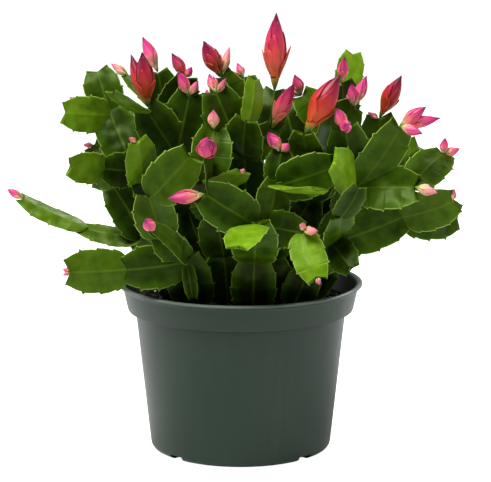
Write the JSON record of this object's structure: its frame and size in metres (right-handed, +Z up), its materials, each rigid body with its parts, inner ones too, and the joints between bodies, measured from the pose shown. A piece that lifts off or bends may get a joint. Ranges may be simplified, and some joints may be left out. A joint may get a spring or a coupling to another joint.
{
  "type": "potted christmas cactus",
  "caption": "Christmas cactus in bud: flat jointed green stem segments with toothed edges and pointed red-pink buds, growing from dark soil in a plain dark green nursery pot.",
  "frame": {"origin": "centre of the pot's underside, on the surface the pot stands on", "axes": "+Z up along the pot's axis; the plant's front, with most of its buds, faces -Y; +X is to the right seen from the front"},
  "size_m": [0.3016, 0.2321, 0.2994],
  "materials": {
    "pot": "satin",
    "soil": "rough",
    "stem": "satin",
    "bud": "satin"
  },
  "bodies": {
    "root": {"pot": "pot", "soil": "soil", "stem_bib": "stem", "stem_chin": "stem", "stem_east": "stem", "stem_finger": "stem", "stem_peak": "stem", "stem_peak_east": "stem", "stem_peak_west": "stem", "stem_reach": "stem", "stem_rear_1": "stem", "stem_rear_2": "stem", "stem_rear_3": "stem", "stem_rear_4": "stem", "stem_rear_5": "stem", "stem_rear_6": "stem", "stem_rear_7": "stem", "stem_skirt": "stem", "stem_west": "stem", "bud_bib2": "bud", "bud_chin2": "bud", "bud_chin6": "bud", "bud_east2": "bud", "bud_east3": "bud", "bud_east5": "bud", "bud_east8": "bud", "bud_east9": "bud", "bud_finger2": "bud", "bud_finger4": "bud", "bud_peak4": "bud", "bud_peak6": "bud", "bud_peak7": "bud", "bud_peak8": "bud", "bud_peak9": "bud", "bud_peake2": "bud", "bud_peake6": "bud", "bud_peake8": "bud", "bud_peake9": "bud", "bud_peakw2": "bud", "bud_peakw4": "bud", "bud_peakw6": "bud", "bud_peakw7": "bud", "bud_peakw8": "bud", "bud_reach4": "bud", "bud_reach8": "bud", "bud_stem_rear_2_116": "bud", "bud_stem_rear_2_117": "bud", "bud_stem_rear_3_120": "bud", "bud_stem_rear_3_121": "bud", "bud_stem_rear_3_123": "bud", "bud_stem_rear_4_125": "bud", "bud_stem_rear_4_126": "bud", "bud_west5": "bud"}
  },
  "joints": []
}
